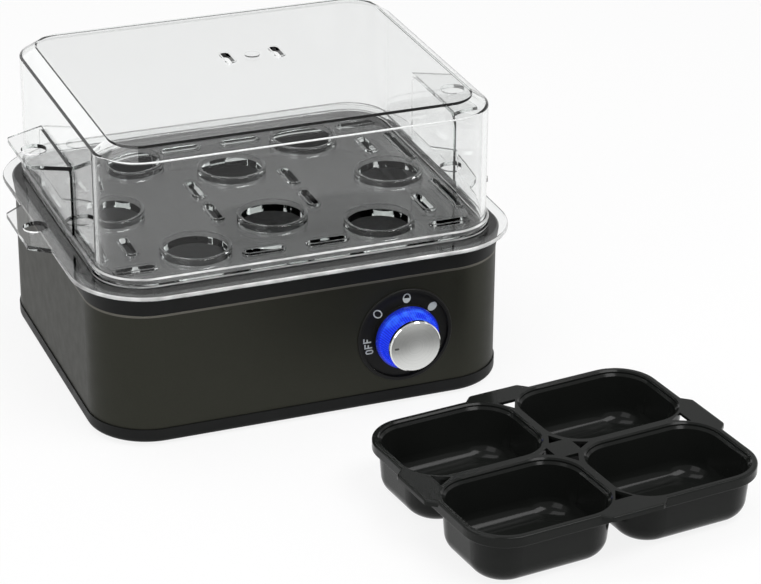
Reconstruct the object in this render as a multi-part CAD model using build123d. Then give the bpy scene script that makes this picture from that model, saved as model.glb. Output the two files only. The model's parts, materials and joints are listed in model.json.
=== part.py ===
from build123d import *
from math import cos, hypot, radians, sin
import os

# Electric egg cooker: heated base, clear egg tray, clear lid and a four-cup poaching tray.
# Millimetres, +Z up, front towards -Y, origin on the table under the middle of the base.

# Body outline and heights
body_width = 200.0
body_depth = 175.0
body_corner = 28.8
foot_height = 1.2
skirt_height = 7.0
skirt_proud = 0.6
skirt_wall = 3.2
skirt_round = 2.6
base_floor = 2.5
base_spigot_wall = 2.0
base_spigot_height = 1.9
sleeve_height = 57.5
sleeve_wall = 0.8
sleeve_edge_round = 0.3
slip_gap = 0.15

# Top rim that carries the pan and the tray
rim_height = 9.5
rim_flare = 1.4
rim_edge_round = 1.0
rim_spigot_wall = 5.0
ledge_drop = 4.2
ledge_width = 5.5
rim_land = 8.0

# Water pan and its gasket
gasket_thick = 1.0
gasket_width = 3.5
pan_sheet = 1.2
pan_depth = 10.8
pan_flange_gap = 1.5
pan_well_gap = 2.5
pan_bottom_round = 4.0
pan_stud_radius = 2.0
pan_stud_inset_x = 10.0
pan_stud_y = 30.0
pan_stud_tail = 6.0

# Heater under the pan
element_radius = 3.25
element_from_well_x = 22.0
element_from_well_y = 16.0
element_bend = 16.0
element_end_bend = 8.0
element_end_x = 15.0
element_end_drop = 20.0
pin_radius = 1.5
pin_length = 8.0
insulator_wall = 1.5
insulator_height = 5.0
braze_gap = 0.05

# Heat shield below the heater
shield_sheet = 1.0
shield_under_pan = 0.4
shield_edge_gap = 4.2
shield_well_inset_x = 19.2
shield_well_inset_y = 28.7
shield_well_corner = 20.0
shield_well_depth = 16.0

# Thermostat strapped to the middle of the pan
thermostat_radius = 8.5
thermostat_height = 6.5
thermostat_neck_radius = 6.0
thermostat_neck_height = 2.0
strap_length = 60.0
strap_width = 12.0
strap_sheet = 0.8
strap_stud_x = 24.0
strap_stud_radius = 1.5
strap_stud_tail = 4.0
fuse_radius = 2.2
fuse_length = 14.0

# Screws, nuts and feet
screw_inset_x = 16.0
screw_inset_y = 16.5
column_radius = 5.0
screw_radius = 1.6
screw_gap = 0.06
screw_depth = 12.0
screw_head_radius = 3.5
screw_head_height = 2.0
screw_slot_width = 0.8
screw_slot_depth = 1.0
boss_radius = 6.5
boss_drop = 0.2
head_room = 0.5
nut_height = 3.0
nut_across = 8.0
thread_gap = 0.05
foot_radius = 7.0
foot_recess = 0.8
foot_stem_radius = 2.4
foot_head_radius = 3.4
foot_head_height = 1.2
foot_inset_x = 20.0
foot_inset_y = 35.5

# Dial on the front
dial_from_side = 55.0
dial_above_skirt = 27.5
dial_radius = 23.45
bezel_proud = 0.8
bezel_round = 0.7
bezel_lip = 1.85
bezel_overlap = 0.85
bezel_tube_wall = 2.0
bezel_tube_depth = 8.0
dial_recess = 0.6
dial_floor = 2.4
dial_collar_radius = 15.1
dial_collar_wall = 1.7
dial_collar_height = 2.8
bezel_nut_wall = 2.2
bezel_nut_depth = 3.0
nut_relief = 1.0
rim_relief_depth = 22.0
light_ring_radius = 11.0
light_ring_width = 4.0
light_ring_depth = 1.4
led_radius = 1.4
led_count = 4

# Knob
knob_radius = 15.5
knob_flange = 1.5
knob_step = 0.8
knob_neck_radius = 14.2
knob_top_radius = 12.4
knob_wall = 1.6
knob_float = 0.5
knob_height = 8.9
cap_radius = 12.6
cap_thick = 2.2
cap_chamfer = 0.6
hub_radius = 5.5
hub_into_cap = 0.8
shaft_radius = 3.0
shaft_run_gap = 0.05
shaft_depth = 9.5
pointer_length = 2.2
pointer_width = 0.9
pointer_thick = 0.15
pointer_from_edge = 3.2
pointer_angle = 178.0

# Marks printed on the dial: angles are measured from +X, anticlockwise seen from the front
off_angle = 191.0
soft_angle = 137.0
medium_angle = 87.0
hard_angle = 41.0
mark_radius = 18.3
mark_thick = 0.12
mark_half_width = 1.95
mark_half_height = 2.45
mark_line = 0.55
letter_height = 3.9
letter_width = 2.3
letter_pitch = 3.0
letter_line = 0.62
letter_bar = 1.85

# Control board behind the dial
control_board_size = 40.0
board_thick = 1.6
post_radius = 2.6
post_offset = 12.0
post_length = 10.5
board_screw_radius = 1.0
board_screw_head = 2.4
board_screw_head_height = 1.6
board_screw_depth = 6.0
switch_size = 16.4
switch_depth = 7.0
switch_bush_radius = 4.6
bush_gap = 0.05

# Power board on the base floor
power_board_from_side = 55.0
power_board_length = 60.0
power_board_width = 44.0
power_post_height = 6.0
power_post_inset = 5.0
relay_length = 19.0
relay_width = 15.5
relay_height = 15.5
relay_chamfer = 0.6
relay_shift_x = -13.0
relay_shift_y = 8.0
buzzer_radius = 6.0
buzzer_height = 8.5
buzzer_hole_radius = 1.2
buzzer_hole_depth = 2.0
buzzer_shift_x = 15.0
buzzer_shift_y = -12.0
capacitor_length = 18.0
capacitor_width = 8.0
capacitor_height = 14.0
capacitor_round = 1.3
capacitor_shift_x = 12.0
capacitor_shift_y = 10.0
block_length = 26.0
block_width = 16.0
block_height = 12.0
block_from_back = 25.5

# Cord inlet at the back
gland_from_side = 40.0
gland_above_skirt = 16.0
gland_radius = 6.0
gland_bore = 3.6
gland_flange_radius = 9.0
gland_flange = 2.5
gland_tail = 8.0
gland_nut_depth = 3.5

# Wires inside
lead_radius = 1.5
lead_bend = 5.0
lead_rise = 10.0
signal_lead_radius = 2.0

# Egg tray
tray_overhang = 6.1
tray_corner = 36.6
tray_plate = 2.2
tray_edge_round = 0.9
platform_rise = 0.8
platform_gap = 0.6
tray_rib_drop = 1.4
tray_rib_wall = 2.0
tray_rib_gap = 0.6
tray_tab_reach = 9.2
tray_tab_root = 27.0
tray_tab_end = 19.5
tab_round = 2.5
tab_hole = 6.0
seat_radius = 15.0
seat_wall = 1.8
seat_rise = 3.0
seat_lip_round = 0.8
seat_edge_x = 4.7
seat_edge_y = 9.9
corner_seat_x = 45.0
middle_seat_y = 30.0
slot_length = 19.0
slot_width = 4.6
slot_rim_wall = 1.1
slot_rim_rise = 0.9
slot_row_edge = 16.4
slot_row_outer = 15.0
slot_row_inner_x = 15.5
edge_slot_length = 35.4
edge_slot_width = 3.2
edge_slot_edge = 3.8
edge_slot_y = 31.2
side_slot_edge = 18.5
side_slot_y = 38.0
middle_slot_x = 24.0
middle_slot_y = 14.0

# Lid
lid_inset = 5.4
lid_corner = 22.2
lid_wall = 2.2
lid_wall_height = 60.1
lid_bevel_in = 7.8
lid_bevel_up = 5.2
lid_edge_round = 0.9
lid_bead_out = 1.5
lid_bead_height = 4.6
lid_bead_round = 0.7
lid_tab_height = 39.0
lid_tab_thick = 2.0
lid_tab_reach = 18.9
lid_tab_root = 26.7
lid_tab_end = 17.5
lid_tab_hole_from_edge = 8.2
lid_pad = 1.2
lid_pad_round = 4.0
vent_x = 6.5
vent_spacing = 24.6
vent_y = 15.0
vent_length = 13.0
vent_width = 4.0
vent_rim_wall = 0.7
vent_rim_rise = 0.5
gate_radius = 3.6

# Poaching tray, standing on the table at the front right
poach_x = 75.9
poach_y = -198.2
poach_turn = 6.87
poach_half_x = 72.2
poach_half_y = 57.8
poach_height = 26.5
poach_lip = 3.2
poach_lip_depth = 5.0
poach_lip_round = 1.0
poach_lip_low_round = 0.5
poach_bar_x = 4.8
poach_bar_y = 5.2
poach_cup_corner = 16.5
poach_wall = 1.4
poach_floor = 2.0
poach_draft = 1.8
poach_bottom_round = 9.0
poach_fill_step = 1.2
poach_fill_drop = 1.5
poach_fill_slope = 1.1
poach_mouth_bevel = 0.7
poach_skirt = 2.0
poach_web = 1.4
poach_tab_thick = 2.4
poach_tab_reach = 4.0
poach_tab_root = 16.5
poach_tab_end = 12.5
poach_hub = 6.6
poach_hub_hole = 6.3
poach_hub_hole_half = 3.5
poach_tab_web = 8.4
poach_tab_hole = 7.2
poach_tab_hole_half = 4.5

# Heights that follow
base_bottom = foot_height
floor_top = base_bottom + base_floor
skirt_top = base_bottom + skirt_height
sleeve_top = skirt_top + sleeve_height
rim_top = sleeve_top + rim_height
ledge_z = rim_top - ledge_drop
pan_flange_bottom = ledge_z + gasket_thick
pan_flange_top = pan_flange_bottom + pan_sheet
pan_bottom = pan_flange_top - pan_depth
shield_top = pan_bottom - shield_under_pan
shield_bottom = shield_top - shield_well_depth
element_z = pan_bottom - braze_gap - element_radius
element_end_z = element_z - element_end_drop
pin_bottom = element_end_z - pin_length
boss_top = skirt_top - boss_drop
plate_top = rim_top + tray_plate
platform_top = plate_top + platform_rise
lid_bottom = plate_top
lid_shoulder = lid_bottom + lid_wall_height
lid_top = lid_shoulder + lid_bevel_up

# Outlines that follow
half_x = body_width / 2
half_y = body_depth / 2
inner_x = half_x - sleeve_wall
inner_y = half_y - sleeve_wall
inner_corner = body_corner - sleeve_wall
opening_x = half_x - rim_land
opening_y = half_y - rim_land
opening_corner = body_corner + rim_land
well_x = opening_x - ledge_width
well_y = opening_y - ledge_width
well_corner = opening_corner - ledge_width
pan_x = well_x - pan_well_gap
pan_y = well_y - pan_well_gap
pan_corner = well_corner - pan_well_gap
lid_x = half_x - lid_inset
lid_y = half_y - lid_inset
platform_x = lid_x - lid_wall - platform_gap
platform_y = lid_y - lid_wall - platform_gap
platform_corner = lid_corner - lid_wall - platform_gap
screw_x = half_x - screw_inset_x
screw_y = half_y - screw_inset_y
foot_x = half_x - foot_inset_x
foot_y = half_y - foot_inset_y
shield_well_half_x = inner_x - shield_well_inset_x
shield_well_half_y = inner_y - shield_well_inset_y
element_half_x = shield_well_half_x - element_from_well_x
element_half_y = shield_well_half_y - element_from_well_y
pan_stud_x = shield_well_half_x - pan_stud_inset_x


def four_corners(x, y):
    """Points at plus and minus x and y."""
    return [(sx * x, sy * y) for sx in (-1, 1) for sy in (-1, 1)]


screw_points = four_corners(screw_x, screw_y)
foot_points = four_corners(foot_x, foot_y)
pan_stud_points = four_corners(pan_stud_x, pan_stud_y)
strap_stud_points = [(-strap_stud_x, 0), (strap_stud_x, 0)]
element_end_points = [(-element_end_x, element_half_y), (element_end_x, element_half_y)]

# Places inside the base that follow
screw_seat = boss_top - base_floor - head_room
thermostat_bottom = pan_bottom - braze_gap - thermostat_height - thermostat_neck_height
strap_bottom = thermostat_bottom - strap_sheet
pan_stud_bottom = shield_bottom - pan_stud_tail
strap_stud_bottom = strap_bottom - strap_stud_tail
power_board_x = power_board_from_side - half_x
power_board_bottom = floor_top + power_post_height
power_board_top = power_board_bottom + board_thick
power_post_x = power_board_length / 2 - power_post_inset
power_post_y = power_board_width / 2 - power_post_inset
power_posts = [(power_board_x + x, y) for x, y in four_corners(power_post_x, power_post_y)]
relay_point = (power_board_x + relay_shift_x, relay_shift_y)
relay_top = power_board_top + relay_height
buzzer_point = (power_board_x + buzzer_shift_x, buzzer_shift_y)
capacitor_point = (power_board_x + capacitor_shift_x, capacitor_shift_y)
gland_x = gland_from_side - half_x
block_point = (gland_x, half_y - block_from_back)
block_top = floor_top + block_height

# Seats and slots of the egg tray: each slot is a place, a turn, a length and a width
side_seat_x = platform_x - seat_radius - seat_wall - seat_edge_x
corner_seat_y = platform_y - seat_radius - seat_wall - seat_edge_y
seat_points = four_corners(corner_seat_x, corner_seat_y)
seat_points += [(0, -middle_seat_y), (0, middle_seat_y), (-side_seat_x, 0), (side_seat_x, 0)]
slot_row_y = platform_y - slot_row_edge
row_slots = four_corners(platform_x - slot_row_outer, slot_row_y)
row_slots += four_corners(slot_row_inner_x, slot_row_y)
side_slots = four_corners(platform_x - side_slot_edge, side_slot_y)
side_slots += four_corners(middle_slot_x, middle_slot_y)
edge_slots = four_corners(platform_x - edge_slot_edge, edge_slot_y)
slots = [(point, 0, slot_length, slot_width) for point in row_slots]
slots += [(point, 90, slot_length, slot_width) for point in side_slots]
slots += [(point, 90, edge_slot_length, edge_slot_width) for point in edge_slots]

# Cups of the poaching tray
poach_open_x = (2 * (poach_half_x - poach_lip) - poach_bar_x) / 4
poach_open_y = (2 * (poach_half_y - poach_lip) - poach_bar_y) / 4
poach_cup_x = poach_half_x - poach_lip - poach_open_x
poach_cup_y = poach_half_y - poach_lip - poach_open_y
cup_points = four_corners(poach_cup_x, poach_cup_y)
poach_lip_low = poach_height - poach_lip_depth
poach_web_low = poach_height - poach_web
poach_fill_z = poach_height - poach_fill_drop
poach_bowl_top = poach_fill_z - poach_fill_slope
poach_wall_top = poach_wall - poach_fill_step

# Dial and gland frames: local z points out of the body
dial_x = half_x - dial_from_side
dial_z = skirt_top + dial_above_skirt
dial_frame = Plane(origin=(dial_x, -half_y, dial_z), x_dir=(1, 0, 0), z_dir=(0, -1, 0)).location
gland_z = skirt_top + gland_above_skirt
gland_frame = Plane(origin=(gland_x, half_y, gland_z), x_dir=(-1, 0, 0), z_dir=(0, 1, 0)).location
dial_face = -dial_recess
dial_back = dial_face - dial_floor
bezel_tube_radius = dial_radius - bezel_overlap
board_front = dial_back - post_length
board_back = board_front - board_thick
collar_top = dial_face + dial_collar_height
knob_back = collar_top + knob_float
knob_top = knob_back + knob_height
cap_front = knob_top + cap_thick
hub_top = knob_top + hub_into_cap
shaft_end = dial_back - shaft_depth
bezel_nut_radius = bezel_tube_radius + bezel_nut_wall
face_radius = dial_radius - bezel_lip
light_inner = light_ring_radius - light_ring_width / 2
light_outer = light_ring_radius + light_ring_width / 2
post_points = four_corners(post_offset, post_offset)
led_angles = [radians(360 * i / led_count) for i in range(led_count)]
led_points = [(light_ring_radius * cos(angle), light_ring_radius * sin(angle)) for angle in led_angles]

bottom_up = (Align.CENTER, Align.CENTER, Align.MIN)


def slab(x, y, corner, low, high):
    """Upright block with a rounded rectangular outline of half sizes x and y."""
    return Pos(0, 0, low) * extrude(RectangleRounded(2 * x, 2 * y, corner), high - low)


def frame_ring(x, y, corner, wall, low, high):
    """Rounded rectangular band, measured on its outside."""
    return slab(x, y, corner, low, high) - slab(x - wall, y - wall, corner - wall, low, high)


def drafted(x, y, corner, low, high, top_extra):
    """Rounded block whose top outline is larger than its bottom outline by top_extra all round."""
    lower = Pos(0, 0, low) * RectangleRounded(2 * x, 2 * y, corner)
    upper = Pos(0, 0, high) * RectangleRounded(
        2 * (x + top_extra), 2 * (y + top_extra), corner + top_extra
    )
    return loft([lower, upper], ruled=True)


def post(point, radius, low, high):
    """Upright cylinder."""
    return Pos(point[0], point[1], low) * Cylinder(radius, high - low, align=bottom_up)


def tube(point, radius, bore, low, high):
    """Upright tube."""
    return post(point, radius, low, high) - post(point, bore, low, high)


def box(center, length, width, low, high):
    """Upright box on a point of the plan."""
    return Pos(center[0], center[1], low) * Box(length, width, high - low, align=bottom_up)


def on_frame(frame, radius, low, high, point=(0, 0)):
    """Cylinder along a frame's own axis, between two heights in that frame."""
    return frame * Pos(point[0], point[1], low) * Cylinder(radius, high - low, align=bottom_up)


def hex_nut(point, bore, low):
    """Plain hexagon nut."""
    outline = RegularPolygon(nut_across / 2, 6, major_radius=False)
    body = Pos(point[0], point[1], low) * extrude(outline, nut_height)
    return body - post(point, bore, low, low + nut_height)


def lead(points, radius):
    """Insulated wire: straight runs joined by arcs."""
    path = FilletPolyline(*points, radius=lead_bend)
    start = Plane(origin=path @ 0, z_dir=path % 0)
    return sweep(start * Circle(radius), path=path)


def group(solids):
    """Separate solids kept together as one node."""
    return Part() + list(solids)


def side_tab(root_x, reach, root_half, end_half, hole_x, hole, low, high):
    """Pair of tapered grip tabs on the left and right, each with a round hole."""
    tab = make_face(
        Polyline(
            (root_x - tab_round, -root_half),
            (root_x, -root_half),
            (root_x + reach, -end_half),
            (root_x + reach, end_half),
            (root_x, root_half),
            (root_x - tab_round, root_half),
            close=True,
        )
    )
    tab = fillet(tab.vertices().group_by(Axis.X)[-1], tab_round)
    right = Pos(0, 0, low) * extrude(tab, high - low)
    right -= post((hole_x, 0), hole, low, high)
    return right, mirror(right, about=Plane.YZ)


# Base
def make_base_pan():
    x = half_x + skirt_proud
    y = half_y + skirt_proud
    corner = body_corner + skirt_proud
    pan = slab(x, y, corner, base_bottom, skirt_top)
    pan = fillet(pan.edges().group_by(Axis.Z)[0], skirt_round)
    pan -= slab(x - skirt_wall, y - skirt_wall, corner - skirt_wall, floor_top, skirt_top)
    pan += frame_ring(
        inner_x - slip_gap,
        inner_y - slip_gap,
        inner_corner - slip_gap,
        base_spigot_wall,
        skirt_top - base_spigot_height,
        skirt_top + base_spigot_height,
    )
    for point in screw_points:
        pan += post(point, boss_radius, floor_top, boss_top)
        pan -= post(point, screw_head_radius + head_room, base_bottom, screw_seat)
        pan -= post(point, screw_radius + screw_gap, base_bottom, boss_top)
    for point in foot_points:
        pan -= post(point, foot_radius, base_bottom, base_bottom + foot_recess)
        pan -= post(point, foot_stem_radius, base_bottom, floor_top)
    for point in power_posts:
        pan += post(point, post_radius, floor_top, power_board_bottom)
        pan -= post(point, board_screw_radius + screw_gap, floor_top, power_board_bottom)
    return pan


def make_rubber_feet():
    feet = []
    for point in foot_points:
        foot = post(point, foot_radius - slip_gap, 0, base_bottom + foot_recess)
        foot += post(point, foot_stem_radius - thread_gap, 0, floor_top)
        foot += post(point, foot_head_radius, floor_top, floor_top + foot_head_height)
        feet.append(foot)
    return group(feet)


def make_base_screws():
    screws = []
    for point in screw_points:
        head = post(point, screw_head_radius, screw_seat - screw_head_height, screw_seat)
        head_low = screw_seat - screw_head_height
        slot = box(point, 2 * screw_head_radius, screw_slot_width, head_low, head_low + screw_slot_depth)
        screws.append(head - slot + post(point, screw_radius, screw_seat, boss_top + screw_depth))
    return group(screws)


# Shell
def make_metal_sleeve():
    sleeve = slab(half_x, half_y, body_corner, skirt_top, sleeve_top)
    sleeve = fillet(sleeve.edges().group_by(Axis.Z)[-1], sleeve_edge_round)
    sleeve -= slab(inner_x, inner_y, inner_corner, skirt_top, sleeve_top)
    sleeve -= on_frame(dial_frame, bezel_tube_radius + slip_gap, -2 * sleeve_wall, sleeve_wall)
    sleeve -= on_frame(gland_frame, gland_radius + slip_gap, -2 * sleeve_wall, sleeve_wall)
    return sleeve


def make_top_rim():
    rim = drafted(half_x, half_y, body_corner, sleeve_top, rim_top, rim_flare)
    rim = fillet(rim.edges().group_by(Axis.Z)[-1], rim_edge_round)
    spigot_x = inner_x - slip_gap
    spigot_y = inner_y - slip_gap
    rim += slab(spigot_x, spigot_y, inner_corner - slip_gap, shield_top, sleeve_top)
    rim -= slab(opening_x, opening_y, opening_corner, ledge_z, rim_top)
    rim -= slab(well_x, well_y, well_corner, shield_top, ledge_z)
    rim -= slab(
        spigot_x - rim_spigot_wall,
        spigot_y - rim_spigot_wall,
        inner_corner - rim_spigot_wall,
        shield_top,
        sleeve_top,
    )
    for point in screw_points:
        rim += post(point, column_radius, boss_top, sleeve_top)
        rim -= post(point, screw_radius + screw_gap, boss_top, boss_top + screw_depth + head_room)
    return rim - on_frame(dial_frame, bezel_nut_radius + nut_relief, -rim_relief_depth, 0)


# Water pan and heater
def make_pan_gasket():
    gap = pan_flange_gap / 2
    return frame_ring(
        opening_x - gap, opening_y - gap, opening_corner - gap, gasket_width, ledge_z, pan_flange_bottom
    )


def make_water_pan():
    pan = slab(pan_x, pan_y, pan_corner, pan_bottom, pan_flange_top)
    pan = fillet(pan.edges().group_by(Axis.Z)[0], pan_bottom_round)
    pan += slab(
        opening_x - pan_flange_gap,
        opening_y - pan_flange_gap,
        opening_corner - pan_flange_gap,
        pan_flange_bottom,
        pan_flange_top,
    )
    inside = slab(
        pan_x - pan_sheet, pan_y - pan_sheet, pan_corner - pan_sheet, pan_bottom + pan_sheet, pan_flange_top
    )
    inside = fillet(inside.edges().group_by(Axis.Z)[0], pan_bottom_round - pan_sheet)
    return pan - inside


def make_pan_studs():
    studs = [post(point, pan_stud_radius, pan_stud_bottom, pan_bottom) for point in pan_stud_points]
    studs += [post(point, strap_stud_radius, strap_stud_bottom, pan_bottom) for point in strap_stud_points]
    return group(studs)


def make_stud_nuts():
    return group(
        hex_nut(point, pan_stud_radius + thread_gap, shield_bottom - nut_height) for point in pan_stud_points
    )


def make_heating_element():
    path = FilletPolyline(
        (-element_end_x, element_half_y, element_end_z),
        (-element_end_x, element_half_y, element_z),
        (-element_half_x, element_half_y, element_z),
        (-element_half_x, -element_half_y, element_z),
        (element_half_x, -element_half_y, element_z),
        (element_half_x, element_half_y, element_z),
        (element_end_x, element_half_y, element_z),
        (element_end_x, element_half_y, element_end_z),
        radius=[element_end_bend] + 4 * [element_bend] + [element_end_bend],
    )
    start = Plane(origin=path @ 0, z_dir=path % 0)
    return sweep(start * Circle(element_radius), path=path)


def make_element_pins():
    return group(post(point, pin_radius, pin_bottom, element_end_z) for point in element_end_points)


def make_terminal_insulators():
    bore = element_radius + thread_gap
    low = shield_bottom - insulator_height / 2
    return group(
        tube(point, bore + insulator_wall, bore, low, low + insulator_height) for point in element_end_points
    )


def make_heat_shield():
    edge_x = inner_x - shield_edge_gap
    edge_y = inner_y - shield_edge_gap
    edge_corner = inner_corner - shield_edge_gap
    shield = slab(edge_x, edge_y, edge_corner, shield_top - shield_sheet, shield_top)
    shield += slab(shield_well_half_x, shield_well_half_y, shield_well_corner, shield_bottom, shield_top)
    shield -= slab(
        shield_well_half_x - shield_sheet,
        shield_well_half_y - shield_sheet,
        shield_well_corner - shield_sheet,
        shield_bottom + shield_sheet,
        shield_top,
    )
    for point in screw_points:
        shield -= post(point, column_radius + nut_relief, shield_bottom, shield_top)
    for point in pan_stud_points:
        shield -= post(point, pan_stud_radius + thread_gap, shield_bottom, shield_top)
    insulator_hole = element_radius + insulator_wall + 2 * thread_gap
    for point in element_end_points:
        shield -= post(point, insulator_hole, shield_bottom, shield_bottom + shield_sheet)
    return shield - on_frame(dial_frame, bezel_nut_radius + nut_relief, -bezel_nut_depth - 2 * nut_relief, 0)


def make_thermostat():
    middle = thermostat_bottom + thermostat_neck_height
    can = post((0, 0), thermostat_radius, middle, pan_bottom - braze_gap)
    return can + post((0, 0), thermostat_neck_radius, thermostat_bottom, middle)


def make_thermostat_strap():
    strap = box((0, 0), strap_length, strap_width, strap_bottom, thermostat_bottom)
    for point in strap_stud_points:
        strap -= post(point, strap_stud_radius + thread_gap, strap_bottom, thermostat_bottom)
    return strap


def make_strap_nuts():
    low = strap_bottom - nut_height
    return group(hex_nut(point, strap_stud_radius + thread_gap, low) for point in strap_stud_points)


def make_thermal_fuse():
    center = (0, 0, strap_bottom - braze_gap - fuse_radius)
    return Pos(*center) * Rot(0, 90, 0) * Cylinder(fuse_radius, fuse_length)


# Electrical parts on the base floor
def make_power_board():
    center = (power_board_x, 0)
    board = box(center, power_board_length, power_board_width, power_board_bottom, power_board_top)
    for point in power_posts:
        board -= post(point, board_screw_radius + screw_gap, power_board_bottom, power_board_top)
    return board


def make_power_board_screws():
    screws = []
    for point in power_posts:
        head = post(point, board_screw_head, power_board_top, power_board_top + board_screw_head_height)
        screws.append(head + post(point, board_screw_radius, floor_top + board_thick, power_board_top))
    return group(screws)


def make_relay():
    relay = box(relay_point, relay_length, relay_width, power_board_top, relay_top)
    return chamfer(relay.edges().group_by(Axis.Z)[-1], relay_chamfer)


def make_buzzer():
    top = power_board_top + buzzer_height
    body = post(buzzer_point, buzzer_radius, power_board_top, top)
    return body - post(buzzer_point, buzzer_hole_radius, top - buzzer_hole_depth, top)


def make_capacitor():
    top = power_board_top + capacitor_height
    body = box(capacitor_point, capacitor_length, capacitor_width, power_board_top, top)
    return fillet(body.edges().filter_by(Axis.Z), capacitor_round)


def make_terminal_block():
    block = box(block_point, block_length, block_width, floor_top, block_top)
    for side in (-1, 0, 1):
        point = (block_point[0] + side * block_length / 3, block_point[1] - block_width / 4)
        block -= post(point, pin_radius, block_top - block_height / 3, block_top)
    return block


def make_live_lead():
    x = block_point[0] - block_length / 3
    y = block_point[1] + block_width / 4
    end_x, end_y = element_end_points[0]
    high = (block_top + pin_bottom) / 2
    points = [(x, y, block_top), (x, y, high), (end_x, end_y, high), (end_x, end_y, pin_bottom)]
    return lead(points, lead_radius)


def make_neutral_lead():
    x = block_point[0] + block_length / 3
    y = block_point[1] + block_width / 4
    end_x = relay_point[0] - relay_length / 4
    end_y = relay_point[1]
    high = relay_top + lead_rise
    points = [(x, y, block_top), (x, y, high), (end_x, end_y, high), (end_x, end_y, relay_top)]
    return lead(points, lead_radius)


def make_element_lead():
    x = relay_point[0] + relay_length / 4
    y = relay_point[1] - relay_width / 4
    end_x, end_y = element_end_points[1]
    middle_z = relay_top + 2 * lead_radius
    points = [
        (x, y, relay_top),
        (x, y, relay_top + lead_rise),
        (end_x, y, middle_z - lead_rise),
        (end_x, end_y, pin_bottom - lead_rise),
        (end_x, end_y, pin_bottom),
    ]
    return lead(points, lead_radius)


def make_signal_lead():
    x = power_board_x + power_post_x
    board_y = -half_y - board_back
    end_z = dial_z - control_board_size / 4
    points = [
        (x, 0, power_board_top),
        (x, 0, end_z),
        (dial_x, board_y + 3 * lead_rise, end_z),
        (dial_x, board_y, end_z),
    ]
    return lead(points, signal_lead_radius)


# Cord inlet
def make_cord_gland():
    gland = on_frame(gland_frame, gland_radius, -gland_tail, 0)
    flange = on_frame(gland_frame, gland_flange_radius, 0, gland_flange)
    gland += chamfer(flange.edges().group_by(Axis.Y)[-1], gland_flange / 3)
    return gland - on_frame(gland_frame, gland_bore, -gland_tail, gland_flange)


def make_gland_nut():
    nut = on_frame(gland_frame, gland_flange_radius, -sleeve_wall - gland_nut_depth, -sleeve_wall)
    return nut - on_frame(gland_frame, gland_radius + thread_gap, -gland_tail, 0)


# Dial
def make_dial_bezel():
    rim = on_frame(dial_frame, dial_radius, 0, bezel_proud)
    rim = fillet(rim.edges().group_by(Axis.Y)[0], bezel_round)
    bezel = rim + on_frame(dial_frame, bezel_tube_radius, -bezel_tube_depth, 0)
    bezel -= on_frame(dial_frame, face_radius, dial_face, bezel_proud)
    bezel -= on_frame(dial_frame, bezel_tube_radius - bezel_tube_wall, -bezel_tube_depth, dial_back)
    collar = on_frame(dial_frame, dial_collar_radius, dial_face, collar_top)
    bezel += collar - on_frame(dial_frame, dial_collar_radius - dial_collar_wall, dial_face, collar_top)
    slot_back = dial_face - light_ring_depth
    slot = on_frame(dial_frame, light_outer, slot_back, dial_face)
    bezel -= slot - on_frame(dial_frame, light_inner, slot_back, dial_face)
    for point in post_points:
        bezel += on_frame(dial_frame, post_radius, board_front, dial_back, point)
        bezel -= on_frame(
            dial_frame, board_screw_radius + screw_gap, board_front, board_front + board_screw_depth, point
        )
    for point in led_points:
        bezel -= on_frame(dial_frame, led_radius + thread_gap, dial_back, dial_face, point)
    return bezel - on_frame(dial_frame, hub_radius + knob_float, dial_back, dial_face)


def make_bezel_nut():
    back = -sleeve_wall - bezel_nut_depth
    nut = on_frame(dial_frame, bezel_nut_radius, back, -sleeve_wall)
    return nut - on_frame(dial_frame, bezel_tube_radius + thread_gap, back, -sleeve_wall)


def make_light_guide():
    low = dial_face - light_ring_depth
    guide = on_frame(dial_frame, light_outer - thread_gap, low, dial_face)
    return guide - on_frame(dial_frame, light_inner + thread_gap, low, dial_face)


def egg_mark():
    return Ellipse(mark_half_width, mark_half_height)


def egg_outline():
    return egg_mark() - Ellipse(mark_half_width - mark_line, mark_half_height - mark_line)


def letter_o():
    outline = SlotOverall(letter_height, letter_width, rotation=90)
    inside = SlotOverall(letter_height - 2 * letter_line, letter_width - 2 * letter_line, rotation=90)
    return outline - inside


def letter_f():
    left = -letter_width / 2
    stem = Pos(left + letter_line / 2, 0) * Rectangle(letter_line, letter_height)
    top = Pos(0, letter_height / 2 - letter_line / 2) * Rectangle(letter_width, letter_line)
    middle = Pos(left + letter_bar / 2, 0) * Rectangle(letter_bar, letter_line)
    return stem + top + middle


def make_dial_marks():
    half_cut = Pos(0, mark_half_height) * Rectangle(2 * mark_half_width, 2 * mark_half_height)
    half_egg = egg_mark() - half_cut
    drawings = [
        (soft_angle, egg_outline()),
        (medium_angle, egg_outline() + half_egg),
        (hard_angle, egg_mark()),
    ]
    solids = []
    for angle, drawing in drawings:
        place = Rot(0, 0, angle) * Pos(mark_radius, 0) * Rot(0, 0, -90)
        solids.append(dial_frame * Pos(0, 0, dial_face) * place * extrude(drawing, mark_thick))
    for index, letter in enumerate((letter_o(), letter_f(), letter_f())):
        upright = Rot(0, 0, 90 - off_angle)
        place = Rot(0, 0, off_angle) * Pos(mark_radius, (1 - index) * letter_pitch) * upright
        solids.append(dial_frame * Pos(0, 0, dial_face) * place * extrude(letter, mark_thick))
    return group(solids)


def make_control_board():
    board = dial_frame * Pos(0, 0, board_back) * Box(
        control_board_size, control_board_size, board_thick, align=bottom_up
    )
    for point in post_points:
        board -= on_frame(dial_frame, board_screw_radius + screw_gap, board_back, board_front, point)
    return board


def make_control_board_screws():
    screws = []
    for point in post_points:
        head_back = board_back - board_screw_head_height
        head = on_frame(dial_frame, board_screw_head, head_back, board_back, point)
        tip = board_front + board_screw_depth - head_room
        screws.append(head + on_frame(dial_frame, board_screw_radius, board_back, tip, point))
    return group(screws)


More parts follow.
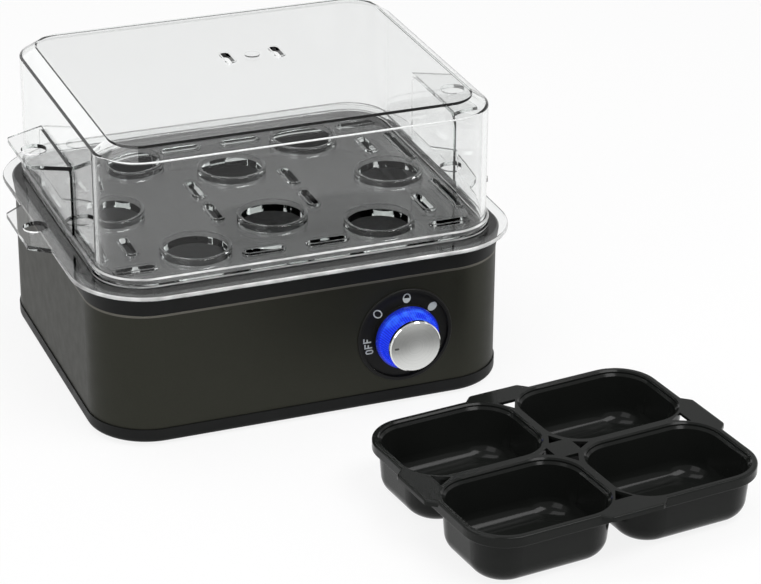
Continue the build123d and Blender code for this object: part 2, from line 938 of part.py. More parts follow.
def make_rotary_switch():
    body_top = board_front + switch_depth
    body = dial_frame * Pos(0, 0, board_front) * Box(switch_size, switch_size, switch_depth, align=bottom_up)
    body += on_frame(dial_frame, switch_bush_radius, body_top, dial_back - bush_gap)
    return body - on_frame(dial_frame, shaft_radius + shaft_run_gap, shaft_end - shaft_run_gap, dial_back)


def make_leds():
    return group(
        on_frame(dial_frame, led_radius, board_front, dial_face - light_ring_depth - thread_gap, point)
        for point in led_points
    )


# Knob
def make_knob_shaft():
    return on_frame(dial_frame, shaft_radius, shaft_end, hub_top - cap_thick)


def make_knob_hub():
    hub = on_frame(dial_frame, hub_radius, knob_back, hub_top)
    return hub - on_frame(dial_frame, shaft_radius + thread_gap, knob_back, hub_top - cap_thick)


def make_knob_skirt():
    step_radius = (knob_radius + knob_neck_radius) / 2
    flange_top = knob_back + knob_flange
    step_top = flange_top + knob_step
    bore = hub_radius + thread_gap
    profile = make_face(
        Polyline(
            (bore, knob_top),
            (knob_top_radius, knob_top),
            (knob_neck_radius, step_top),
            (step_radius, step_top),
            (step_radius, flange_top),
            (knob_radius, flange_top),
            (knob_radius, knob_back),
            (knob_neck_radius - knob_wall, knob_back),
            (knob_top_radius - knob_wall, knob_top - knob_wall),
            (bore, knob_top - knob_wall),
            close=True,
        )
    )
    return dial_frame * revolve(Plane.XZ * profile, Axis.Z)


def make_knob_cap():
    cap = on_frame(dial_frame, cap_radius, knob_top, cap_front)
    cap = chamfer(cap.edges().group_by(Axis.Y)[0], cap_chamfer)
    return cap - on_frame(dial_frame, hub_radius + thread_gap, knob_top, hub_top + thread_gap)


def make_knob_pointer():
    reach = cap_radius - pointer_from_edge
    mark = Rot(0, 0, pointer_angle) * Pos(reach, 0) * SlotOverall(pointer_length, pointer_width)
    return dial_frame * Pos(0, 0, cap_front) * extrude(mark, pointer_thick)


# Egg tray
def slot_block(slot, grow, low, high):
    point, turn, length, width = slot
    outline = SlotOverall(length + 2 * grow, width + 2 * grow, rotation=turn)
    return Pos(point[0], point[1], low) * extrude(outline, high - low)


def make_egg_tray():
    flange_x = half_x + tray_overhang
    flange_y = half_y + tray_overhang
    tray = slab(flange_x, flange_y, tray_corner, rim_top, plate_top)
    tray = fillet(tray.edges().group_by(Axis.Z)[0] + tray.edges().group_by(Axis.Z)[-1], tray_edge_round)
    for tab in side_tab(
        flange_x, tray_tab_reach, tray_tab_root, tray_tab_end, flange_x, tab_hole, rim_top, plate_top
    ):
        tray += tab
    for side in (-1, 1):
        tray -= post((side * flange_x, 0), tab_hole, rim_top, plate_top)
    tray += slab(platform_x, platform_y, platform_corner, plate_top, platform_top)
    tray += frame_ring(
        opening_x - tray_rib_gap,
        opening_y - tray_rib_gap,
        opening_corner - tray_rib_gap,
        tray_rib_wall,
        rim_top - tray_rib_drop,
        rim_top,
    )
    for point in seat_points:
        collar = post(point, seat_radius + seat_wall, platform_top, platform_top + seat_rise)
        tray += fillet(collar.edges().group_by(Axis.Z)[-1], seat_lip_round)
    for slot in slots:
        tray += slot_block(slot, slot_rim_wall, platform_top, platform_top + slot_rim_rise)
    for point in seat_points:
        tray -= post(point, seat_radius, rim_top, platform_top + seat_rise)
    for slot in slots:
        tray -= slot_block(slot, 0, rim_top, platform_top + slot_rim_rise)
    return tray


# Lid
def lid_form(inset, bottom):
    """Closed lid shape, drawn in from the outside by inset."""
    x = lid_x - inset
    y = lid_y - inset
    corner = lid_corner - inset
    slope = lid_bevel_up / lid_bevel_in
    shoulder = lid_shoulder - inset * (hypot(1, slope) - slope)
    top = lid_top - inset
    body = slab(x, y, corner, bottom, shoulder)
    return body + drafted(x, y, corner, shoulder, top, (shoulder - top) / slope)


def make_lid():
    lid = lid_form(0, lid_bottom)
    lid = fillet(lid.edges().group_by(Axis.Z)[-1] + lid.edges().filter_by_position(
        Axis.Z, lid_shoulder - braze_gap, lid_shoulder + braze_gap), lid_edge_round)
    bead = slab(
        lid_x + lid_bead_out,
        lid_y + lid_bead_out,
        lid_corner + lid_bead_out,
        lid_bottom,
        lid_bottom + lid_bead_height,
    )
    lid += fillet(bead.edges().group_by(Axis.Z)[0] + bead.edges().group_by(Axis.Z)[-1], lid_bead_round)
    tab_low = lid_bottom + lid_tab_height - lid_tab_thick
    tab_high = lid_bottom + lid_tab_height
    hole_x = lid_x + lid_tab_reach - lid_tab_hole_from_edge
    for tab in side_tab(
        lid_x, lid_tab_reach, lid_tab_root, lid_tab_end, hole_x, tab_hole, tab_low, tab_high
    ):
        lid += tab
    for side in (-1, 1):
        pad_x = lid_x - lid_pad
        pad = box((side * pad_x, 0), 4 * lid_pad, 2 * lid_tab_root, lid_bottom, tab_low)
        lid += fillet(pad.edges().filter_by(Axis.X).group_by(Axis.Z)[-1], lid_pad_round)
    for side in (-1, 1):
        place = Pos(vent_x + side * vent_spacing / 2, vent_y, 0)
        rim = SlotOverall(vent_length + 2 * vent_rim_wall, vent_width + 2 * vent_rim_wall, rotation=90)
        lid += place * Pos(0, 0, lid_top) * extrude(rim, vent_rim_rise)
    lid += post((vent_x, vent_y), gate_radius, lid_top, lid_top + vent_rim_rise)
    lid -= lid_form(lid_wall, lid_bottom)
    for side in (-1, 1):
        place = Pos(vent_x + side * vent_spacing / 2, vent_y, lid_top - lid_wall)
        slot = SlotOverall(vent_length, vent_width, rotation=90)
        lid -= place * extrude(slot, lid_wall + vent_rim_rise)
    return lid


# Poaching tray
def cup_band(low, high, low_grow, high_grow):
    """Block between two heights whose outline stands outside the cup's opening by two amounts."""
    x = poach_open_x + low_grow
    y = poach_open_y + low_grow
    return drafted(x, y, poach_cup_corner + low_grow, low, high, high_grow - low_grow)


def cup_body(grow, low, high, bottom_round):
    """Block that tapers like the cup wall, stands outside it by grow and has a rounded bottom."""
    low_grow, high_grow = (grow - poach_draft * (1 - z / poach_lip_low) for z in (low, high))
    body = cup_band(low, high, low_grow, high_grow)
    return fillet(body.edges().group_by(Axis.Z)[0], bottom_round)


def make_cup_outside():
    collar = cup_band(poach_lip_low, poach_height, poach_wall, poach_wall)
    return collar + cup_body(poach_wall_top, 0, poach_lip_low, poach_bottom_round)


def make_cup_inside():
    bowl = cup_body(-poach_fill_step, poach_floor, poach_bowl_top, poach_bottom_round - poach_wall)
    bowl_top_grow = -poach_fill_step - poach_draft * (1 - poach_bowl_top / poach_lip_low)
    fill_line = cup_band(poach_bowl_top, poach_fill_z, bowl_top_grow, 0)
    mouth = cup_band(poach_fill_z, poach_height, 0, 0)
    bevel = cup_band(poach_height - poach_mouth_bevel, poach_height, 0, poach_mouth_bevel)
    return bowl + fill_line + mouth + bevel


def plan_triangle(base, apex, half):
    """Triangle in plan with its base across the X axis."""
    return make_face(Polyline((base, -half), (apex, 0), (base, half), close=True))


def make_poaching_tray():
    sides = ((poach_half_x, (0, 180)), (poach_half_y, (90, 270)))
    corner = poach_cup_corner + poach_lip
    plate = slab(poach_half_x, poach_half_y, corner, poach_lip_low, poach_height)
    plate = fillet(plate.edges().group_by(Axis.Z)[0], poach_lip_low_round)
    hollow_x = poach_half_x - poach_skirt
    hollow_y = poach_half_y - poach_skirt
    plate -= slab(hollow_x, hollow_y, corner - poach_skirt, poach_lip_low, poach_web_low)
    tab_low = poach_height - poach_tab_thick
    for reach, turns in sides:
        outline = make_face(
            Polyline(
                (reach - poach_lip, -poach_tab_root),
                (reach, -poach_tab_root),
                (reach + poach_tab_reach, -poach_tab_end),
                (reach + poach_tab_reach, poach_tab_end),
                (reach, poach_tab_root),
                (reach - poach_lip, poach_tab_root),
                close=True,
            )
        )
        outline = fillet(outline.vertices().group_by(Axis.X)[-1], tab_round)
        for turn in turns:
            plate += Rot(0, 0, turn) * Pos(0, 0, tab_low) * extrude(outline, poach_tab_thick)
    plate = fillet(plate.edges().group_by(Axis.Z)[-1], poach_lip_round)
    outside = make_cup_outside()
    inside = make_cup_inside()
    tray = plate
    for point in cup_points:
        tray += Pos(*point) * outside
    for point in cup_points:
        tray -= Pos(*point) * inside
    hub_hole = plan_triangle(poach_hub, poach_hub + poach_hub_hole, poach_hub_hole_half)
    for reach, turns in sides:
        base = reach - poach_tab_web
        tab_hole = plan_triangle(base, base - poach_tab_hole, poach_tab_hole_half)
        for turn in turns:
            for hole in (hub_hole, tab_hole):
                tray -= Rot(0, 0, turn) * Pos(0, 0, poach_web_low) * extrude(hole, poach_web)
    return Pos(poach_x, poach_y) * Rot(0, 0, poach_turn) * tray


nodes = {
    "base_pan": make_base_pan,
    "rubber_feet": make_rubber_feet,
    "base_screws": make_base_screws,
    "metal_sleeve": make_metal_sleeve,
    "top_rim": make_top_rim,
    "pan_gasket": make_pan_gasket,
    "water_pan": make_water_pan,
    "pan_studs": make_pan_studs,
    "stud_nuts": make_stud_nuts,
    "heating_element": make_heating_element,
    "element_pins": make_element_pins,
    "terminal_insulators": make_terminal_insulators,
    "heat_shield": make_heat_shield,
    "thermostat": make_thermostat,
    "thermostat_strap": make_thermostat_strap,
    "strap_nuts": make_strap_nuts,
    "thermal_fuse": make_thermal_fuse,
    "power_board": make_power_board,
    "power_board_screws": make_power_board_screws,
    "relay": make_relay,
    "buzzer": make_buzzer,
    "capacitor": make_capacitor,
    "terminal_block": make_terminal_block,
    "live_lead": make_live_lead,
    "neutral_lead": make_neutral_lead,
    "element_lead": make_element_lead,
    "signal_lead": make_signal_lead,
    "cord_gland": make_cord_gland,
    "gland_nut": make_gland_nut,
    "dial_bezel": make_dial_bezel,
    "bezel_nut": make_bezel_nut,
    "light_guide": make_light_guide,
    "dial_marks": make_dial_marks,
    "control_board": make_control_board,
    "control_board_screws": make_control_board_screws,
    "rotary_switch": make_rotary_switch,
    "leds": make_leds,
    "knob_shaft": make_knob_shaft,
    "knob_hub": make_knob_hub,
    "knob_skirt": make_knob_skirt,
    "knob_cap": make_knob_cap,
    "knob_pointer": make_knob_pointer,
    "egg_tray": make_egg_tray,
    "lid": make_lid,
    "poaching_tray": make_poaching_tray,
}

os.makedirs("parts", exist_ok=True)
for name, make in nodes.items():
    export_step(make(), f"parts/{name}.step")
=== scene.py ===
import json
from math import cos, radians, sin

import bpy
from mathutils import Matrix, Vector


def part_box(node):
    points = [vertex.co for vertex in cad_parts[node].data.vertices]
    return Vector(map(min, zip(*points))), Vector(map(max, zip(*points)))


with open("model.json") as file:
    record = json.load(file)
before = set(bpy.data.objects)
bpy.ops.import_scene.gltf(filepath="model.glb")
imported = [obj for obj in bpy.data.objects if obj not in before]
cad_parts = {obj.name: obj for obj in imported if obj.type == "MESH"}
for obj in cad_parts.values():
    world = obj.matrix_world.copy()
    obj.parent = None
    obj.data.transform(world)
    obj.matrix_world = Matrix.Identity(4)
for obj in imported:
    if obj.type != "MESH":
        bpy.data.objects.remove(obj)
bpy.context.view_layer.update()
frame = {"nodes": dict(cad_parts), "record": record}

# Electric egg cooker: the looks of its parts. Metres, +Z up, front towards -Y.
scene = bpy.context.scene
nodes = frame["nodes"]

# Camera at the photograph's viewing angle
camera_azimuth = -21.43
camera_elevation = 25.599
camera_roll = 0.481
camera_distance = 1.53273
camera_target = Vector((0.10131, 0.08733, -0.03037))
camera_lens = 136.24
camera_sensor = 36.0
camera_clip = (0.05, 50.0)

# Studio: the floor, the light all round, and the white backdrop that dims towards the ceiling
floor_half = 6.0
floor_drop = 0.0002
floor_colour = (0.9, 0.9, 0.9)
floor_glow = 0.86
floor_mottle = 3.0
floor_rough = (0.65, 0.75)
ambient = 0.38
horizon_top = 0.08
ceiling_start = 0.3
ceiling_level = 0.6

# Clear plastic: how it bends light, the colour of its depth and how fast it darkens, the strength of its
# waves, and how much the lid's walls and the flat faces mirror
clear_bend = 1.45
clear_depth_colour = (0.78, 0.83, 0.81)
clear_density = 40.0
clear_waviness = 0.05
wall_mirror = 0.45
top_mirror = 1.0
mirror_fade = 0.001

# Heights of the lid's bead, of its shoulder under the top, and of the sleeve's hem with a painted highlight
lid_bead_height = 0.0047
lid_shoulder_drop = 0.007
hem_height = 0.0012

# White frosted lines along the edges of the tray's flange and the lid's bead, a painted highlight: corner
# of the outline, width of the line, and its bottom and top above the lowest point of the piece
flange_corner = 0.0366
flange_highlight_width = 0.0007
flange_highlight = (0.0019, 0.0037)
bead_corner = 0.0237
bead_highlight_width = 0.0012
bead_highlight_low = (0.0, 0.0011)
bead_highlight_high = (0.0039, lid_bead_height)
edge_fade = 0.0001

# How strong the painted highlight is at the front, where the light falls, and at the back,
# and where it fades from one to the other along Y
highlight_front_share = 0.85
highlight_back_share = 0.2975
highlight_fade = (-0.08, -0.05)

# Knob: streaks round the lit skirt, the slope of the crowned cap at half its radius, and its polished edge
rib_count = 72.0
cap_crown = 0.1
cap_edge = 0.0009
cap_edge_fade = 0.0004

# Places on the object, taken from its parts
dial_low, dial_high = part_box("dial_bezel")
dial_centre = Vector(((dial_low.x + dial_high.x) / 2, dial_low.y, (dial_low.z + dial_high.z) / 2))
cap_low, cap_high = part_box("knob_cap")
cap_radius = (cap_high.x - cap_low.x) / 2
skirt_low, skirt_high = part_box("knob_skirt")
skirt_radius = (skirt_high.x - skirt_low.x) / 2
lid_low, lid_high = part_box("lid")
wall_low = lid_low.z + lid_bead_height
wall_high = lid_high.z - lid_shoulder_drop
tray_low, tray_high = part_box("egg_tray")
_, sleeve_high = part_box("metal_sleeve")
hem_start = sleeve_high.z - hem_height
body_stretch = sleeve_high.x - sleeve_high.y


# Camera
def make_camera():
    data = bpy.data.cameras.new("camera")
    data.lens = camera_lens
    data.sensor_width = camera_sensor
    data.sensor_fit = "HORIZONTAL"
    data.clip_start, data.clip_end = camera_clip
    azimuth = radians(camera_azimuth)
    elevation = radians(camera_elevation)
    roll = radians(camera_roll)
    back = Vector((sin(azimuth) * cos(elevation), -cos(azimuth) * cos(elevation), sin(elevation)))
    level = Vector((cos(azimuth), sin(azimuth), 0))
    upright = back.cross(level)
    right = level * cos(roll) + upright * sin(roll)
    up = upright * cos(roll) - level * sin(roll)
    camera = bpy.data.objects.new("camera", data)
    scene.collection.objects.link(camera)
    turn = Matrix((right, up, back)).transposed().to_4x4()
    camera.matrix_world = Matrix.Translation(camera_target + back * camera_distance) @ turn
    scene.camera = camera


# Nodes of a material
class Surface:
    """A material with one Principled shader and short calls for its procedural detail.

    Further sockets are set by name, with _ for a space.
    """

    def __init__(self, name, colour, roughness, **sockets):
        self.material = bpy.data.materials.new(name)
        self.material.use_nodes = True
        self.tree = self.material.node_tree
        self.shader = self.tree.nodes["Principled BSDF"]
        self.shader.inputs["Base Color"].default_value = (*colour, 1)
        self.shader.inputs["Roughness"].default_value = roughness
        for socket, value in sockets.items():
            self.shader.inputs[socket.replace("_", " ")].default_value = value
        self.place = self.tree.nodes.new("ShaderNodeTexCoord").outputs["Object"]

    def node(self, kind, links=(), **settings):
        """A new node, with each socket in links linked to a socket or set to a value."""
        made = self.tree.nodes.new(kind)
        for setting, value in settings.items():
            setattr(made, setting, value)
        for socket, value in dict(links).items():
            if isinstance(value, bpy.types.NodeSocket):
                self.tree.links.new(value, made.inputs[socket])
            else:
                made.inputs[socket].default_value = value
        return made

    def noise(self, scale, detail=2.0, place=None):
        links = {"Vector": place or self.place, "Scale": scale, "Detail": detail}
        return self.node("ShaderNodeTexNoise", links).outputs["Fac"]

    def cells(self, scale):
        return self.node("ShaderNodeTexVoronoi", {"Vector": self.place, "Scale": scale}).outputs["Distance"]

    def spread(self, value, low, high, start=0.3, end=0.7):
        """A value that goes from low to high while the given one goes from start to end."""
        links = {"Value": value, "From Min": start, "From Max": end, "To Min": low, "To Max": high}
        return self.node("ShaderNodeMapRange", links).outputs["Result"]

    def math(self, operation, first, second=0.0):
        return self.node("ShaderNodeMath", {0: first, 1: second}, operation=operation).outputs["Value"]

    def vector(self, operation, first, second=(0, 0, 0)):
        return self.node("ShaderNodeVectorMath", {0: first, 1: second}, operation=operation).outputs[0]

    def length(self, vector):
        return self.node("ShaderNodeVectorMath", {0: vector}, operation="LENGTH").outputs["Value"]

    def blend(self, share, first, second):
        """Mix of two colours. Sockets 6 and 7 of the node take them, and output 2 gives the mix."""
        made = self.node("ShaderNodeMix", data_type="RGBA")
        self.tree.links.new(share, made.inputs["Factor"])
        for socket, value in ((made.inputs[6], first), (made.inputs[7], second)):
            if isinstance(value, bpy.types.NodeSocket):
                self.tree.links.new(value, socket)
            else:
                socket.default_value = (*value, 1)
        return made.outputs[2]

    def set(self, socket, value):
        self.tree.links.new(value, self.shader.inputs[socket])
        return self

    def bump(self, height, strength, distance, over=None):
        """Fine relief on the surface, or on the normal of another relief."""
        links = {"Height": height, "Strength": strength, "Distance": distance}
        if over is not None:
            links["Normal"] = over
        made = self.node("ShaderNodeBump", links)
        return self.set("Normal", made.outputs["Normal"])

    def axis(self, letter):
        return self.node("ShaderNodeSeparateXYZ", {"Vector": self.place}).outputs[letter]

    def radius_from(self, centre):
        """Distance from an axis along Y through centre."""
        flat = self.vector("MULTIPLY", self.vector("SUBTRACT", self.place, centre), (1, 0, 1))
        return self.length(flat)

    def angle_about(self, centre):
        """Angle round an axis along Y through centre, in radians."""
        moved = self.vector("SUBTRACT", self.place, centre)
        parts = self.node("ShaderNodeSeparateXYZ", {"Vector": moved})
        return self.math("ARCTAN2", parts.outputs["Z"], parts.outputs["X"])

    def edge_line(self, half_x, half_y, corner, width, low, high):
        """1 along the outer edge of a rounded rectangle round Z, between two heights."""
        middle = (half_x - corner, half_y - corner, 1.0)
        past = self.vector("SUBTRACT", self.vector("ABSOLUTE", self.place), middle)
        reach = self.length(self.vector("MAXIMUM", past))
        total = self.spread(reach, 0, 1, corner - width, corner - 0.8 * width)
        limits = (
            self.spread(reach, 1, 0, corner + edge_fade, corner + 2 * edge_fade),
            self.spread(self.axis("Z"), 0, 1, low, low + edge_fade),
            self.spread(self.axis("Z"), 1, 0, high, high + edge_fade),
        )
        for limit in limits:
            total = self.math("MULTIPLY", total, limit)
        return total


def moulded(name, colour, dark_share, rough, grain=1900.0, depth=0.00006, **sockets):
    """Moulded plastic: fine eroded grain, slow changes of gloss and a little change of colour."""
    tone_scale = 24.0
    gloss_scale = 70.0
    grain_strength = 0.35
    surface = Surface(name, colour, sum(rough) / 2, **sockets)
    dark = tuple(dark_share * c for c in colour)
    tone = surface.spread(surface.noise(tone_scale, 4.0), 0, 1)
    surface.set("Base Color", surface.blend(tone, colour, dark))
    surface.set("Roughness", surface.spread(surface.noise(gloss_scale, 3.0), *rough))
    return surface.bump(surface.noise(grain, 3.0), grain_strength, depth).material


def metal(name, colour, rough, grain=900.0):
    """Bare or plated metal with a fine rolled grain."""
    dark_share = 0.8
    grain_strength = 0.2
    grain_depth = 0.00003
    surface = Surface(name, colour, sum(rough) / 2, Metallic=1.0)
    dark = tuple(dark_share * c for c in colour)
    grains = surface.noise(grain, 3.0)
    surface.set("Base Color", surface.blend(surface.spread(grains, 0, 1), colour, dark))
    surface.set("Roughness", surface.spread(grains, *rough))
    return surface.bump(grains, grain_strength, grain_depth).material


def sleeve_paint():
    """Gunmetal paint: dark flake under a satin coat, fine orange peel, painted highlight on the top hem."""
    flake = (0.0294, 0.0299, 0.0231)
    pale = (0.0352, 0.0358, 0.0279)
    # painted highlight: pale colour of the thin band along the sleeve's top edge
    hem_highlight_colour = (0.12, 0.115, 0.1)
    coat = (0.79, 0.79, 0.79, 1)
    flake_scale = 2600.0
    gloss_scale = 140.0
    peel_scale = 1300.0
    peel_strength = 0.12
    peel_depth = 0.00003
    surface = Surface("gunmetal_paint", flake, 0.42, Metallic=0.85, Specular_Tint=coat)
    speck = surface.spread(surface.cells(flake_scale), 0, 1, 0.1, 0.6)
    # painted highlight: the band along the top hem takes the pale colour
    hem_highlight = surface.spread(surface.axis("Z"), 0, 1, hem_start, hem_start + 0.1 * hem_height)
    surface.set("Base Color", surface.blend(hem_highlight, surface.blend(speck, pale, flake), hem_highlight_colour))
    surface.set("Roughness", surface.spread(surface.noise(gloss_scale, 3.0), 0.42, 0.47))
    return surface.bump(surface.noise(peel_scale, 2.0), peel_strength, peel_depth).material


def clear(name, lines):
    """Surface of clear moulded plastic with slight waves and frosted edge lines as painted highlight."""
    gloss_scale = 55.0
    highlight_mottle_scale = 90.0
    wave_scale = 38.0
    wave_depth = 0.0006
    surface = Surface(name, (1.0, 1.0, 1.0), 0.02, IOR=clear_bend)
    surface.set("Roughness", surface.spread(surface.noise(gloss_scale, 3.0), 0.0, 0.03))
    # painted highlight: the frosted lines are stronger at the front, where the light falls
    lit_front = surface.spread(surface.axis("Y"), highlight_front_share, highlight_back_share, *highlight_fade)
    mottle = surface.spread(surface.noise(highlight_mottle_scale, 2.0), 0.5, 1.0)
    share = surface.math("MULTIPLY", mottle, lit_front)
    # painted highlight: white frosted lines along the edges, where less light passes through
    edge_highlights = surface.edge_line(*lines[0])
    for line in lines[1:]:
        edge_highlights = surface.math("ADD", edge_highlights, surface.edge_line(*line))
    painted_highlight = surface.math("MULTIPLY", edge_highlights, share)
    surface.set("Transmission Weight", surface.math("SUBTRACT", 1.0, painted_highlight))
    inside = {"Color": (*clear_depth_colour, 1), "Density": clear_density}
    depth = surface.node("ShaderNodeVolumeAbsorption", inside)
    surface.tree.links.new(depth.outputs[0], surface.tree.nodes["Material Output"].inputs["Volume"])
    return surface.bump(surface.noise(wave_scale, 1.0), clear_waviness, wave_depth)


def highlight_line(low, high, corner, width, heights):
    """Painted highlight round a clear piece: half sizes and corner of its outline, width, bottom and top.
    """
    bottom, top = (low.z + height for height in heights)
    return high.y + body_stretch, high.y, corner, width, bottom, top


def lid_plastic():
    """Clear plastic of the lid: bright flat faces, duller tall walls, frosted bead as painted highlight."""
    heights = (bead_highlight_low, bead_highlight_high)
    lines = [highlight_line(lid_low, lid_high, bead_corner, bead_highlight_width, pair) for pair in heights]
    surface = clear("clear_plastic", lines)
    height = surface.axis("Z")
    over_bead = surface.spread(height, top_mirror, wall_mirror, wall_low, wall_low + mirror_fade)
    at_shoulder = surface.spread(height, 0, top_mirror - wall_mirror, wall_high, wall_high + mirror_fade)
    surface.set("Specular Tint", surface.math("ADD", over_bead, at_shoulder))
    return surface.material


def tray_plastic():
    """Clear plastic of the egg tray, frosted along the edge of its flange as painted highlight."""
    line = highlight_line(tray_low, tray_high, flange_corner, flange_highlight_width, flange_highlight)
    return clear("clear_tray", [line]).material


def lit_blue():
    """Translucent plastic lit from behind: streaked, dim at its flange, a paler painted highlight on top.
    """
    dim = (0.002, 0.004, 0.16)
    deep = (0.004, 0.009, 0.47)
    rib = (0.012, 0.045, 0.8)
    # painted highlight: paler cyan glow towards the top
    pale = (0.06, 0.28, 1.0)
    plastic = (0.01, 0.03, 0.3)
    highlight_patch_scale = 160.0
    gloss_scale = 600.0
    grain_scale = 900.0
    grain_strength = 0.1
    grain_depth = 0.00005
    highlight_start = dial_centre.z + 0.2 * skirt_radius
    flange_start = 0.92 * skirt_radius
    flange_end = 0.98 * skirt_radius
    surface = Surface("lit_blue", plastic, 0.25, Emission_Strength=1.0)
    # painted highlight: paler glow in patches, growing towards the top of the skirt
    height = surface.spread(surface.axis("Z"), 0, 1, highlight_start, skirt_high.z)
    highlight_cloud = surface.spread(surface.noise(highlight_patch_scale, 1.0), 0, 1, 0.45, 0.75)
    top_highlight = surface.math("MULTIPLY", height, highlight_cloud)
    wave = surface.math("SINE", surface.math("MULTIPLY", surface.angle_about(dial_centre), rib_count))
    ribbed = surface.blend(surface.spread(wave, 0, 1, -0.2, 1.0), deep, rib)
    body = surface.blend(top_highlight, ribbed, pale)
    flange = surface.spread(surface.radius_from(dial_centre), 0, 1, flange_start, flange_end)
    surface.set("Emission Color", surface.blend(flange, body, dim))
    surface.set("Roughness", surface.spread(surface.noise(gloss_scale, 2.0), 0.18, 0.32))
    return surface.bump(surface.noise(grain_scale, 2.0), grain_strength, grain_depth).material


def knob_silver():
    """Satin silver cap with turned rings, a slight crown and a polished edge."""
    silver = (0.84, 0.85, 0.83)
    shade = (0.72, 0.73, 0.71)
    ring_scale = 2600.0
    ring_strength = 0.08
    ring_depth = 0.00004
    edge_roughness = 0.1
    surface = Surface("satin_silver", silver, 0.3, Metallic=1.0)
    radius = surface.radius_from(dial_centre)
    ring = surface.node("ShaderNodeCombineXYZ", {"X": radius}).outputs["Vector"]
    rings = surface.noise(ring_scale, 2.0, ring)
    surface.set("Base Color", surface.blend(surface.spread(rings, 0, 1), silver, shade))
    edge_start = cap_radius - cap_edge
    edge = surface.spread(radius, 0.0, 1.0, edge_start, edge_start + cap_edge_fade)
    satin = surface.spread(rings, 0.34, 0.42)
    polish = surface.node("ShaderNodeMix", {0: edge, 2: satin, 3: edge_roughness})
    surface.set("Roughness", polish.outputs[0])
    crown = surface.math("MULTIPLY", surface.math("MULTIPLY", radius, radius), -cap_crown / cap_radius)
    domed = surface.node("ShaderNodeBump", {"Height": crown, "Strength": 1.0, "Distance": 1.0})
    return surface.bump(rings, ring_strength, ring_depth, domed.outputs["Normal"]).material


def circuit_board():
    """Green laminate with paler copper runs under the lacquer."""
    laminate = (0.02, 0.11, 0.04)
    copper = (0.06, 0.24, 0.09)
    run_scale = 160.0
    run_width = 0.06
    run_strength = 0.3
    run_depth = 0.00005
    surface = Surface("board_green", laminate, 0.35, Coat_Weight=0.4)
    links = {"Vector": surface.place, "Scale": run_scale, "Mortar Size": run_width}
    runs = surface.node("ShaderNodeTexBrick", links).outputs["Fac"]
    surface.set("Base Color", surface.blend(runs, laminate, copper))
    return surface.bump(runs, run_strength, run_depth).material


def pan_coating():
    """Dark non-stick coating with pale specks."""
    dark = (0.012, 0.0125, 0.013)
    speck = (0.035, 0.037, 0.038)
    speck_scale = 700.0
    gloss_scale = 300.0
    grain_scale = 1500.0
    grain_strength = 0.25
    grain_depth = 0.00005
    surface = Surface("pan_coating", dark, 0.4, Specular_IOR_Level=0.15)
    specks = surface.spread(surface.cells(speck_scale), 0, 1, 0.1, 0.2)
    surface.set("Base Color", surface.blend(specks, speck, dark))
    surface.set("Roughness", surface.spread(surface.noise(gloss_scale, 2.0), 0.32, 0.46))
    return surface.bump(surface.noise(grain_scale, 2.0), grain_strength, grain_depth).material


# A material for every slot
def make_materials():
    dull = {"Specular_IOR_Level": 0.13}
    poacher = (0.012, 0.013, 0.012)
    made = {
        "black_plastic": moulded("black_plastic", (0.009, 0.0095, 0.0092), 0.75, (0.42, 0.56), **dull),
        "gunmetal_paint": sleeve_paint(),
        "clear_plastic": lid_plastic(),
        "dial_black": moulded("dial_black", (0.014, 0.014, 0.013), 0.8, (0.3, 0.4), 2600.0, **dull),
        "mark_white": moulded("mark_white", (0.62, 0.66, 0.65), 0.85, (0.45, 0.6), 3000.0, 0.00002),
        "lit_blue": lit_blue(),
        "satin_silver": knob_silver(),
        "dark_mark": moulded("dark_mark", (0.09, 0.09, 0.09), 0.7, (0.4, 0.5)),
        "hub_plastic": moulded("hub_plastic", (0.3, 0.3, 0.3), 0.85, (0.4, 0.55)),
        "pan_coating": pan_coating(),
        "steel": metal("steel", (0.5, 0.5, 0.51), (0.28, 0.42)),
        "element_sheath": metal("element_sheath", (0.3, 0.28, 0.26), (0.4, 0.55), 500.0),
        "brass_pin": metal("brass_pin", (0.7, 0.52, 0.24), (0.22, 0.35)),
        "white_insulator": moulded("white_insulator", (0.82, 0.8, 0.75), 0.9, (0.18, 0.3), 400.0),
        "rubber": moulded("rubber", (0.02, 0.02, 0.02), 0.7, (0.65, 0.8), 1200.0, 0.0001),
        "silicone": moulded("silicone", (0.5, 0.5, 0.48), 0.9, (0.5, 0.65), 800.0),
        "board_green": circuit_board(),
        "component_black": moulded("component_black", (0.02, 0.02, 0.021), 0.75, (0.35, 0.5)),
        "wire_cover": moulded("wire_cover", (0.4, 0.06, 0.04), 0.85, (0.35, 0.5), 700.0),
        "poacher_black": moulded("poacher_black", poacher, 0.75, (0.1, 0.15), 1500.0, 0.00001, **dull),
    }
    for part in frame["record"]["subparts"]:
        target = nodes[part["node"]]
        target.data.materials.clear()
        target.data.materials.append(made[part["material_slot"]])
    nodes["egg_tray"].data.materials[0] = tray_plastic()


# Studio: pale floor, white backdrop and soft boxes
def seen_directly(tree):
    """1 for rays from the camera, a mirror or through glass."""
    path = tree.nodes.new("ShaderNodeLightPath")
    total = path.outputs["Is Camera Ray"]
    for output in ("Is Glossy Ray", "Is Transmission Ray"):
        most = tree.nodes.new("ShaderNodeMath")
        most.operation = "MAXIMUM"
        tree.links.new(total, most.inputs[0])
        tree.links.new(path.outputs[output], most.inputs[1])
        total = most.outputs["Value"]
    return total


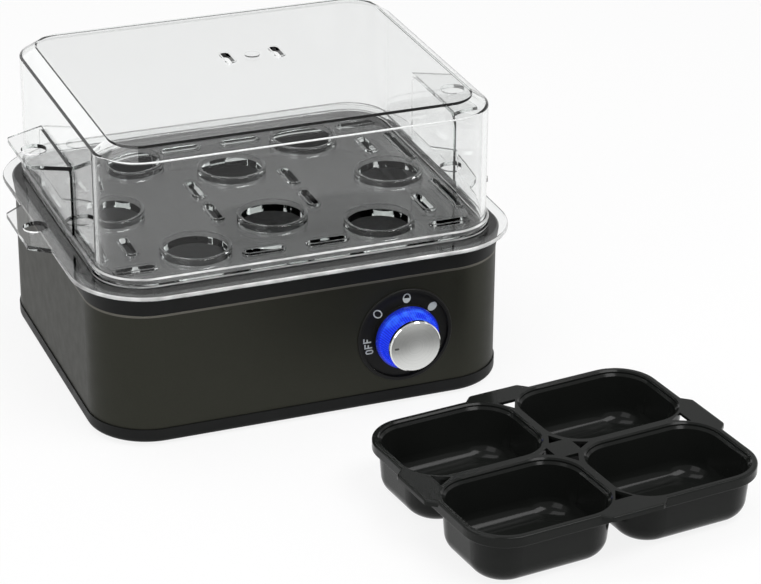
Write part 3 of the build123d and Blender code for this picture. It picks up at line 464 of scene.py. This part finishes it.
def make_floor():
    mesh = bpy.data.meshes.new("floor")
    turns = ((-1, -1), (1, -1), (1, 1), (-1, 1))
    corners = [(floor_half * x, floor_half * y, -floor_drop) for x, y in turns]
    mesh.from_pydata(corners, [], [(0, 1, 2, 3)])
    floor = bpy.data.objects.new("floor", mesh)
    scene.collection.objects.link(floor)
    surface = Surface("floor", floor_colour, sum(floor_rough) / 2)
    surface.set("Roughness", surface.spread(surface.noise(floor_mottle), *floor_rough))
    glow = surface.node("ShaderNodeEmission", {"Color": (1, 1, 1, 1), "Strength": 1.0})
    share = surface.math("MULTIPLY", seen_directly(surface.tree), floor_glow)
    mix = surface.node("ShaderNodeMixShader", {0: share, 1: surface.shader.outputs[0], 2: glow.outputs[0]})
    surface.tree.links.new(mix.outputs[0], surface.tree.nodes["Material Output"].inputs["Surface"])
    mesh.materials.append(surface.material)


def make_world():
    world = bpy.data.worlds.new("studio")
    scene.world = world
    world.use_nodes = True
    tree = world.node_tree
    background = tree.nodes["Background"]
    direction = tree.nodes.new("ShaderNodeTexCoord").outputs["Generated"]
    parts = tree.nodes.new("ShaderNodeSeparateXYZ")
    tree.links.new(direction, parts.inputs["Vector"])
    height = tree.nodes.new("ShaderNodeMapRange")
    tree.links.new(parts.outputs["Z"], height.inputs["Value"])
    height.inputs["From Min"].default_value = horizon_top
    height.inputs["From Max"].default_value = ceiling_start
    height.inputs["To Min"].default_value = 1.0
    height.inputs["To Max"].default_value = ceiling_level
    level = tree.nodes.new("ShaderNodeMix")
    tree.links.new(seen_directly(tree), level.inputs[0])
    level.inputs[2].default_value = ambient
    tree.links.new(height.outputs["Result"], level.inputs[3])
    tree.links.new(level.outputs[0], background.inputs["Strength"])
    background.inputs["Color"].default_value = (1, 1, 1, 1)


def soft_box(name, place, aim, width, height, power):
    """A rectangular lamp at place that points at aim, with its power in watts."""
    data = bpy.data.lights.new(name, "AREA")
    data.shape = "RECTANGLE"
    data.size = width
    data.size_y = height
    data.energy = power
    light = bpy.data.objects.new(name, data)
    scene.collection.objects.link(light)
    light.location = place
    light.rotation_mode = "QUATERNION"
    light.rotation_quaternion = (Vector(aim) - Vector(place)).to_track_quat("-Z", "Y")


def make_lights():
    soft_box("key_left", (-1.1, -0.75, 0.95), (0.0, 0.0, 0.08), 0.9, 0.9, 5.0)
    soft_box("overhead", (-0.35, 0.35, 1.5), (0.03, -0.05, 0.0), 1.0, 1.0, 7.0)
    soft_box("front_box", (0.38, -0.61, 1.03), (0.0, -0.09, 0.08), 0.8, 0.45, 7.0)
    soft_box("back_left", (-0.9, 1.5, 0.75), (0.0, 0.0, 0.08), 1.2, 0.6, 1.5)
    soft_box("fill_right", (1.2, -0.5, 0.6), (0.05, -0.1, 0.05), 0.8, 0.8, 1.2)


make_camera()
make_materials()
make_floor()
make_world()
make_lights()
scene.view_settings.view_transform = "Standard"
